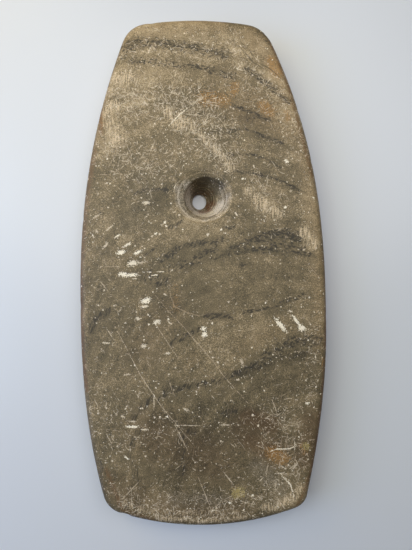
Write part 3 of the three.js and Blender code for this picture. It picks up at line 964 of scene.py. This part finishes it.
# Patterns mixed from the noises, each with its weight
MIXTURES = {
    "mottling": {"clouds": 0.5, "blotches": 0.4, "fine_beds": 0.5},
    "coarse": {"grain": 0.5, "crystals": 1.4},
    "speckle": {"grain": 1, "crystals": 1},
    "bed_grain": {"clumps": 1.7, "crystals": 0.6, "strands": 0.8},
    "streaks": {"fibres": 1, "crystals": 0.5},
    "hole_speckle": {"grain": 1, "crystals": 1, "turnings": 2},
}

# What lies in the stone and on it, and painted light and shade: its field, the pattern that breaks the
# field up and how much, where the broken field begins to show and where it is full, how far it covers,
# and its colour
STAINS_AND_PAINTED_LIGHT = (
    # Tan, partly painted light on the head's right bevel
    ("tan_and_painted_light", "speckle", 2, 0.1, 1, 0.35, "#a48a64"),
    ("reddish", "speckle", 1.5, 0.1, 1, 0.5, "#5c432d"),
    ("dark_beds", "strands", 2, 0.1, 0.8, 0.28, "#4a4436"),
    ("dark_beds", "bed_grain", 7, 0.85, 1.2, 0.75, "#33302a"),
    ("rust", "speckle", 3.5, 0.25, 1.1, 0.6, "#b0803f"),
    ("ochre", "speckle", 2.5, 0.2, 0.9, 0.7, "#b8a66c"),
    ("grey_clouds", "speckle", 3, 0.3, 1.1, 0.4, "#8d877a"),
    ("pale_scuffs", "streaks", 4.5, 0.3, 1.3, 0.75, "#e4cca6"),
    ("edge", "speckle", 1.5, 0.5, 1.3, 0.6, "#43382a"),
    ("brown_rim", "speckle", 1.5, 0.2, 1, 0.7, "#6f4a29"),
    # Pale dust in the hole, partly painted light, then painted shade with some brown stain
    ("hole_dust_and_light", "hole_speckle", 1.6, 0.1, 1.1, 0.85, "#dccfbc"),
    ("hole_shade_and_stain", "hole_speckle", 1, 0, 1.2, 0.5, "#2a221b"),
    ("hole_rust", "speckle", 3, 0.3, 1, 0.7, "#6a3a1c"),
)

# Crumbs of chalk in three sizes: their spacing, the largest one's reach as a share of it, the
# share of places that hold one, and what handling adds to that share. A rim, here and below, is
# where a field begins to show and where it is full.
CRUMBS = (
    (0.6, 0.34, 0.11, 0.27),
    (1.3, 0.24, 0.09, 0.3),
    (3.0, 0.11, 0.08, 0.12),
)
CRUMB_RUFFLE = {"per_mm": 3, "shift": 0.7}
CRUMB_LEAST = {"size": 0.35, "brightness": 0.5}  # the least crumb's, as shares of the largest's
CRUMB_RIM = (-0.02, 0.05)

# Rubbing left a felt of short bent scratches, and hair scratches that are longer and in patches.
# Both are sets of streaks, each set turned its own way, with so many features in a millimetre
# along the streaks, across them and down.
FELT_STREAKS = {"turns": (15, 60, 105, 150), "apart": 30, "per_mm": (0.5, 5, 0.8), "octaves": 1}
FELT_BEND = {"per_mm": 0.2, "shift": 2.2}
FELT_HANDLED = 0.15
FELT_BLOTCHED = 0.1
FELT_SHOWS = {"rim": (0.74, 0.83), "most": 0.7}
HAIR_STREAKS = {"turns": (50, -35, 100), "apart": 40, "per_mm": (0.16, 4, 0.4), "octaves": 2}
HAIR_PATCHES_PER_MM = 0.16
HAIR_HANDLED = 0.07
HAIR_PATCHED = 0.35
HAIR_SHOWS = {"rim": (0.87, 1.05), "most": 0.4}

# The drawn marks, whose edges the speckle breaks up, and the colours of chalk and of cracks
MARK_RAGGED = 2
MARK_RIM = (-0.1, 0.25)
THIN_CHALK = "#c4a27a"
THICK_CHALK = "#fff3d8"
CRACK_COLOUR = "#2c2822"

# How the skin shines. The finest relief is left to it: the grain counts fully there, and the
# others by these weights.
STONE_ROUGHNESS = (0.5, 0.65)
CHALK_ROUGHER = 0.3
SPECULAR = 0.3
FINE_RELIEF = {"crystals": 0.6, "chalk": -0.4, "cracks": -1, "height": 0.08, "strength": 0.5}


def summed(tree, start, *parts):
    """Adds to start each field times its weight."""
    for field, weight in parts:
        start = add(tree, "ShaderNodeMath", {0: field, 1: weight, 2: start},
                    operation="MULTIPLY_ADD")
    return start


def shaken(tree, places, per_mm, shift):
    """Places moved to and fro by a noise."""
    noise = add(tree, "ShaderNodeTexNoise", {"Vector": places, "Scale": per_mm, "Detail": 1.0})
    return add(tree, "ShaderNodeVectorMath",
               {0: noise.outputs["Color"], 1: (shift, shift, shift), 2: places},
               operation="MULTIPLY_ADD")


def bedded(tree, place):
    """Places with their height in the stack of arched, leaning beds instead of y."""
    x, y, z = add(tree, "ShaderNodeSeparateXYZ", {0: place}).outputs
    from_crest = add(tree, "ShaderNodeMath", {0: summed(tree, x, (y, CREST_LEAN)), 1: CREST_X},
                     operation="SUBTRACT")
    fall = add(tree, "ShaderNodeMath", {0: from_crest, 1: from_crest}, operation="MULTIPLY")
    height = summed(tree, y, (fall, ARCH_FALL), (z, -BED_DIP))
    return add(tree, "ShaderNodeCombineXYZ", {0: x, 1: height, 2: z})


def stone_patterns(tree, place, drilled):
    """How far each noise strays from its middle, and the patterns that are mixed from them."""
    frames = {"plain": place, "bedded": bedded(tree, place)}
    noises = {"turnings": add(tree, "ShaderNodeTexNoise",
                              {"W": drilled, "Scale": TURNINGS, "Detail": 2.0},
                              noise_dimensions="1D")}
    for name, (frame_name, per_mm, octaves, roughness) in NOISES.items():
        scaled = add(tree, "ShaderNodeVectorMath", {0: frames[frame_name], 1: per_mm},
                     operation="MULTIPLY")
        noises[name] = add(tree, "ShaderNodeTexNoise",
                           {"Vector": scaled, "Scale": 1.0, "Detail": octaves,
                            "Roughness": roughness})
    patterns = {}
    for name, noise in noises.items():
        patterns[name] = add(tree, "ShaderNodeMath", {0: noise, 1: NOISE_MIDDLE},
                             operation="SUBTRACT")
    for name, weights in MIXTURES.items():
        parts = [(patterns[part], weight) for part, weight in weights.items()]
        patterns[name] = summed(tree, 0.0, *parts)
    return patterns


def set_stops(ramp, stops):
    """Gives a colour ramp its stops: place along the ramp, from 0 to 1, and hex colour."""
    elements = ramp.color_ramp.elements
    elements[0].color = colour(stops[0][1])
    elements[1].color = colour(stops[-1][1])
    for place, hex_code in stops[1:-1]:
        elements.new(place).color = colour(hex_code)


def bare_skin(tree, place, patterns, drilled, handled):
    """The bare stone: mottled from a dark to a light olive brown, and paler towards the head, partly as
    painted sheen.
    """
    along = add(tree, "ShaderNodeSeparateXYZ", {0: place}).outputs["Y"]
    shade = add(tree, "ShaderNodeAttribute", attribute_name="shade").outputs["Fac"]
    crystal_tone = summed(tree, CRYSTAL_TONE, (handled, HANDLED_CRYSTAL_TONE))
    ridge_tone = add(tree, "ShaderNodeMapRange",
                     {"Value": drilled, "From Max": RIDGES_FROM, "To Max": RIDGE_TONE})
    # Paler towards the head, partly as painted sheen; the zones add painted light where bevels lie in
    # shade
    tone = summed(tree, MIDDLE_TONE, (along, TONE_AND_SHEEN_PER_MM), (shade, ZONE_TONE),
                  (patterns["mottling"], 1.0), (patterns["coarse"], crystal_tone),
                  (patterns["turnings"], ridge_tone))
    skin = add(tree, "ShaderNodeValToRGB", {0: tone})
    set_stops(skin, STONE_TONES)
    return skin


def stained_and_lit(tree, skin, patterns):
    """The skin with what lies in it and on it, and with painted light and shade."""
    for name, pattern, breaking, low, high, most, hex_code in STAINS_AND_PAINTED_LIGHT:
        field = add(tree, "ShaderNodeAttribute", attribute_name=name).outputs["Fac"]
        broken = add(tree, "ShaderNodeMath",
                     {0: field, 1: summed(tree, 1.0, (patterns[pattern], breaking))},
                     operation="MULTIPLY")
        cover = add(tree, "ShaderNodeMapRange",
                    {"Value": broken, "From Min": low, "From Max": high, "To Max": most},
                    interpolation_type="SMOOTHSTEP")
        skin = add(tree, "ShaderNodeMix", {"Factor": cover, "A": skin, "B": colour(hex_code)},
                   data_type="RGBA")
    return skin


def chalked(tree, chalk, field, rim, most):
    """Lays more chalk over the chalk that is there, where the field is past its rim."""
    seen = add(tree, "ShaderNodeMapRange",
               {"Value": field, "From Min": rim[0], "From Max": rim[1], "To Max": most},
               interpolation_type="SMOOTHSTEP")
    return add(tree, "ShaderNodeMath", {0: seen, 1: chalk}, operation="MAXIMUM")


def crumbs(tree, place, handled):
    """Crumbs of chalk: some of the cells of a scatter hold a ragged dot."""
    chalk = 0.0
    ruffled = shaken(tree, place, **CRUMB_RUFFLE)
    dimmest = CRUMB_LEAST["brightness"]
    for spacing, reach, share, handled_share in CRUMBS:
        cells = add(tree, "ShaderNodeTexVoronoi", {"Vector": ruffled, "Scale": 1 / spacing})
        chance = add(tree, "ShaderNodeSeparateColor", {0: cells.outputs["Color"]}).outputs
        likely = summed(tree, share, (handled, handled_share))
        held = add(tree, "ShaderNodeMath", {0: chance[0], 1: likely}, operation="LESS_THAN")
        least = CRUMB_LEAST["size"] * reach
        size = summed(tree, least, (chance[1], reach - least))
        size = add(tree, "ShaderNodeMath", {0: size, 1: held}, operation="MULTIPLY")
        inside = add(tree, "ShaderNodeMath", {0: size, 1: cells}, operation="SUBTRACT")
        bright = summed(tree, dimmest, (chance[2], 1 - dimmest))
        chalk = chalked(tree, chalk, inside, CRUMB_RIM, bright)
    return chalk


def streak_sets(tree, places, turns, apart, per_mm, octaves):
    """For each turn on the face, the turned places and a noise drawn out into streaks there."""
    for i, turn in enumerate(turns):
        turned = add(tree, "ShaderNodeMapping",
                     {"Vector": places, "Location": (apart * i, 0, 0),
                      "Rotation": (0, 0, math.radians(turn))})
        drawn = add(tree, "ShaderNodeVectorMath", {0: turned, 1: per_mm}, operation="MULTIPLY")
        yield turned, add(tree, "ShaderNodeTexNoise",
                          {"Vector": drawn, "Scale": 1.0, "Detail": octaves})


def rubbed(tree, chalk, place, blotches, handled):
    """The felt and the hair scratches that rubbing left, both thickest where it was handled."""
    bent = shaken(tree, place, **FELT_BEND)
    for _, streak in streak_sets(tree, bent, **FELT_STREAKS):
        felt = summed(tree, streak, (handled, FELT_HANDLED), (blotches, FELT_BLOTCHED))
        chalk = chalked(tree, chalk, felt, **FELT_SHOWS)
    for turned, streak in streak_sets(tree, place, **HAIR_STREAKS):
        patches = add(tree, "ShaderNodeTexNoise",
                      {"Vector": turned, "Scale": HAIR_PATCHES_PER_MM, "Detail": 2.0})
        hairs = summed(tree, streak, (patches, HAIR_PATCHED), (handled, HAIR_HANDLED))
        chalk = chalked(tree, chalk, hairs, **HAIR_SHOWS)
    return chalk


def drawn_marks(tree, layers, speckle):
    """The drawn marks: 1 inside a mark's ellipse, ragged at its rim, times its strength."""
    ragged = summed(tree, 1.0, (speckle, MARK_RAGGED))
    marks = 0.0
    for i in range(layers):
        own = add(tree, "ShaderNodeAttribute", attribute_name=f"marks_{i}").outputs["Vector"]
        strength = add(tree, "ShaderNodeSeparateXYZ", {0: own}).outputs["Z"]
        level = add(tree, "ShaderNodeVectorMath", {0: own, 1: (1, 1, 0)}, operation="MULTIPLY")
        out = add(tree, "ShaderNodeVectorMath", {0: level}, operation="LENGTH").outputs["Value"]
        inside = add(tree, "ShaderNodeMath", {0: ragged, 1: out}, operation="SUBTRACT")
        seen = add(tree, "ShaderNodeMapRange",
                   {"Value": inside, "From Min": MARK_RIM[0], "From Max": MARK_RIM[1]},
                   interpolation_type="SMOOTHSTEP")
        marks = summed(tree, marks, (seen, strength))
    return marks


def slate_material(layers):
    """Ground banded slate: warm olive grey, in low arched beds of dark grains, with rust stains, buff
    scuffs, chalky crumbs and hair scratches, a darker brown band along the edge, and a dusty hole,
    partly painted light on its lower and left walls, with painted shade towards the head. Its tone is
    partly painted light: paler towards the head for the sheen there, and lighter on bevels the lamps
    leave in shade. It has a low waxy sheen where it is bare, and a matt one on chalk and dust."""
    material = bpy.data.materials.new("ground_banded_slate")
    material.use_nodes = True
    tree = material.node_tree
    tree.nodes.clear()
    metres = add(tree, "ShaderNodeTexCoord").outputs["Object"]
    place = add(tree, "ShaderNodeVectorMath", {0: metres, "Scale": 1 / MM}, operation="SCALE")
    drilled = add(tree, "ShaderNodeAttribute", attribute_name="drilled").outputs["Fac"]
    handled = add(tree, "ShaderNodeAttribute", attribute_name="handled").outputs["Fac"]
    patterns = stone_patterns(tree, place, drilled)
    skin = bare_skin(tree, place, patterns, drilled, handled)
    skin = stained_and_lit(tree, skin, patterns)

    chalk = rubbed(tree, crumbs(tree, place, handled), place, patterns["blotches"], handled)
    marks = drawn_marks(tree, layers, patterns["speckle"])
    pale = add(tree, "ShaderNodeMath", {0: marks, 1: chalk}, operation="MAXIMUM", use_clamp=True)
    cracks = add(tree, "ShaderNodeMath", {0: marks, 1: -1.0}, operation="MULTIPLY", use_clamp=True)
    whiteness = add(tree, "ShaderNodeMix",
                    {"Factor": pale, "A": colour(THIN_CHALK), "B": colour(THICK_CHALK)},
                    data_type="RGBA")
    for cover, over in ((pale, whiteness), (cracks, colour(CRACK_COLOUR))):
        skin = add(tree, "ShaderNodeMix", {"Factor": cover, "A": skin, "B": over},
                   data_type="RGBA")

    grain, crystals = patterns["grain"], patterns["crystals"]
    roughness = add(tree, "ShaderNodeMapRange",
                    {"Value": grain, "From Min": -GRAIN_SWING, "From Max": GRAIN_SWING,
                     "To Min": STONE_ROUGHNESS[0], "To Max": STONE_ROUGHNESS[1]})
    roughness = summed(tree, roughness, (pale, CHALK_ROUGHER))
    relief = summed(tree, grain, (crystals, FINE_RELIEF["crystals"]),
                    (pale, FINE_RELIEF["chalk"]), (cracks, FINE_RELIEF["cracks"]))
    bump = add(tree, "ShaderNodeBump",
               {"Height": relief, "Strength": FINE_RELIEF["strength"],
                "Distance": FINE_RELIEF["height"] * MM})
    shader = add(tree, "ShaderNodeBsdfPrincipled",
                 {"Base Color": skin, "Roughness": roughness, "Normal": bump,
                  "Specular IOR Level": SPECULAR})
    add(tree, "ShaderNodeOutputMaterial", {"Surface": shader})
    return material


# The relief of a hand-ground face, in millimetres. A reach is a share of the spacing.
RELIEF = {
    "Wave Depth": 0.07,
    "Wave Size": 13.0,
    "Pit Depth": 0.06,
    "Pit Spacing": 2.6,
    "Pit Reach": 0.3,
    "Nick Depth": 0.12,
    "Nick Spacing": 3.4,
    "Nick Reach": 0.45,
    "Seed": 4.0,
}


def relief_tree(material):
    """Geometry nodes that wave the ground faces, pit them, sink the wide flecks, nick the edge."""
    tree = bpy.data.node_groups.new("ground_relief", "GeometryNodeTree")
    tree.is_modifier = True
    tree.interface.new_socket("Geometry", in_out="INPUT", socket_type="NodeSocketGeometry")
    for name in RELIEF:
        tree.interface.new_socket(name, in_out="INPUT", socket_type="NodeSocketFloat")
    tree.interface.new_socket("Geometry", in_out="OUTPUT", socket_type="NodeSocketGeometry")
    given = add(tree, "NodeGroupInput").outputs
    metres = add(tree, "GeometryNodeInputPosition")
    place = add(tree, "ShaderNodeVectorMath", {0: metres, "Scale": 1 / MM}, operation="SCALE")
    edge = add(tree, "GeometryNodeInputNamedAttribute", {"Name": "edge"}, data_type="FLOAT")
    sunk = add(tree, "GeometryNodeInputNamedAttribute", {"Name": "dents"}, data_type="FLOAT")

    wave_scale = add(tree, "ShaderNodeMath", {0: 1.0, 1: given["Wave Size"]}, operation="DIVIDE")
    waves = add(tree, "ShaderNodeTexNoise",
                {"Vector": place, "W": given["Seed"], "Scale": wave_scale, "Detail": 1.0},
                noise_dimensions="4D")
    swing = add(tree, "ShaderNodeMath", {0: waves, 1: NOISE_MIDDLE},
                operation="SUBTRACT")
    rise = add(tree, "ShaderNodeMath", {0: swing, 1: given["Wave Depth"]}, operation="MULTIPLY")
    rise = add(tree, "ShaderNodeMath", {0: rise, 1: 2.0}, operation="MULTIPLY")
    for kind, where in (("Pit", 1.0), ("Nick", edge)):
        scale = add(tree, "ShaderNodeMath", {0: 1.0, 1: given[f"{kind} Spacing"]},
                    operation="DIVIDE")
        cells = add(tree, "ShaderNodeTexVoronoi",
                    {"Vector": place, "W": given["Seed"], "Scale": scale},
                    voronoi_dimensions="4D")
        bowl = add(tree, "ShaderNodeMapRange",
                   {"Value": cells, "From Max": given[f"{kind} Reach"],
                    "To Min": 1.0, "To Max": 0.0},
                   interpolation_type="SMOOTHSTEP")
        cut = add(tree, "ShaderNodeMath", {0: bowl, 1: given[f"{kind} Depth"]},
                  operation="MULTIPLY")
        cut = add(tree, "ShaderNodeMath", {0: cut, 1: where}, operation="MULTIPLY")
        rise = add(tree, "ShaderNodeMath", {0: rise, 1: cut}, operation="SUBTRACT")
    rise = add(tree, "ShaderNodeMath", {0: rise, 1: sunk}, operation="SUBTRACT")
    rise = add(tree, "ShaderNodeMath", {0: rise, 1: MM}, operation="MULTIPLY")
    normal = add(tree, "GeometryNodeInputNormal")
    shift = add(tree, "ShaderNodeVectorMath", {0: normal, "Scale": rise}, operation="SCALE")
    moved = add(tree, "GeometryNodeSetPosition", {"Geometry": given["Geometry"], "Offset": shift})
    whole = add(tree, "GeometryNodeRealizeInstances", {"Geometry": moved})
    dressed = add(tree, "GeometryNodeSetMaterial", {"Geometry": whole, "Material": material})
    add(tree, "NodeGroupOutput", {"Geometry": dressed})
    return tree


def make_tablet():
    """The slate tablet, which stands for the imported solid."""
    points, faces, depth = stone_skin()
    mesh = mesh_of(points, faces)
    layers = paint(mesh, points, depth)
    material = slate_material(layers)
    tablet = bpy.data.objects.new("slate_tablet", mesh)
    bpy.context.scene.collection.objects.link(tablet)
    modifier = tablet.modifiers.new("relief", "NODES")
    modifier.node_group = relief_tree(material)
    for item in modifier.node_group.interface.items_tree:
        if item.in_out == "INPUT" and item.name in RELIEF:
            modifier[item.identifier] = RELIEF[item.name]
    graph = bpy.context.evaluated_depsgraph_get()
    tablet.data = bpy.data.meshes.new_from_object(
        tablet.evaluated_get(graph), preserve_all_data_layers=True, depsgraph=graph)
    tablet.modifiers.clear()
    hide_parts("slate_pendant")
    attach(tablet, "root")


# The photograph is 412 by 550 pixels, taken from straight above
SENSOR = 36.0  # Blender's sensor width, in its own millimetres, which is the picture's long side
CAMERA_ABOVE_FACE = 109
FIELD_AT_FACE = 145.5  # what the picture's long side takes in at the front face
CAMERA_OVER = (0.9, -0.64)
NEAREST_SEEN, FARTHEST_SEEN = 1, 10_000
STONE_LEAN = math.radians(0.95)  # the stone's head leans this far to the left in the picture


def place_camera():
    """A camera that looks straight down on the stone."""
    camera = bpy.data.objects.new("camera", bpy.data.cameras.new("camera"))
    camera.data.sensor_width = SENSOR
    camera.data.lens = SENSOR * CAMERA_ABOVE_FACE / FIELD_AT_FACE
    camera.data.clip_start = NEAREST_SEEN * MM
    camera.data.clip_end = FARTHEST_SEEN * MM
    camera.location = [v * MM for v in (*CAMERA_OVER, THICKNESS + CAMERA_ABOVE_FACE)]
    camera.rotation_euler = (0, 0, -STONE_LEAN)
    bpy.context.scene.collection.objects.link(camera)
    bpy.context.scene.camera = camera


# Soft square lights: bearing (0 over the head, 90 over the left side), elevation, watts, colour
LIGHT_DISTANCE = 380
LIGHT_SIZE = 260
LIGHTS = {
    "low_warm_light": (45, 22, 0.48, "#ffe289"),
    "low_cool_light": (90, 22, 0.48, "#6b90ff"),
    "left_light": (90, 40, 0.48, "#d3edff"),
    "high_right_light": (315, 62, 0.54, "#f5f7ff"),
    "high_left_light": (45, 62, 0.56, "#fffbec"),
}


def make_lights():
    """Plain soft light, mostly from beyond the stone's head and from its left."""
    for name, (bearing, elevation, watts, hex_code) in LIGHTS.items():
        data = bpy.data.lights.new(name, "AREA")
        data.shape = "SQUARE"
        data.size = LIGHT_SIZE * MM
        data.energy = watts
        data.color = colour(hex_code)[:3]
        light = bpy.data.objects.new(name, data)
        turn, rise = math.radians(bearing), math.radians(elevation)
        level = math.cos(rise)
        away = np.array([-math.sin(turn) * level, math.cos(turn) * level, math.sin(rise)])
        light.location = away * LIGHT_DISTANCE * MM
        light.rotation_euler = (math.pi / 2 - rise, 0, turn + math.pi)
        bpy.context.scene.collection.objects.link(light)


BOARD_SIDE = 4000
BOARD_COLOUR = "#dde0e3"
BOARD_ROUGHNESS = 0.3


def make_floor():
    """A plain pale board under the stone."""
    bpy.ops.mesh.primitive_plane_add(size=BOARD_SIDE * MM)
    floor = bpy.context.object
    floor.name = "floor"
    material = bpy.data.materials.new("pale_satin_board")
    material.use_nodes = True
    shader = material.node_tree.nodes["Principled BSDF"]
    shader.inputs["Base Color"].default_value = colour(BOARD_COLOUR)
    shader.inputs["Roughness"].default_value = BOARD_ROUGHNESS
    floor.data.materials.append(material)


place_camera()
make_lights()
make_floor()
make_tablet()
bpy.context.scene.view_settings.view_transform = "Standard"
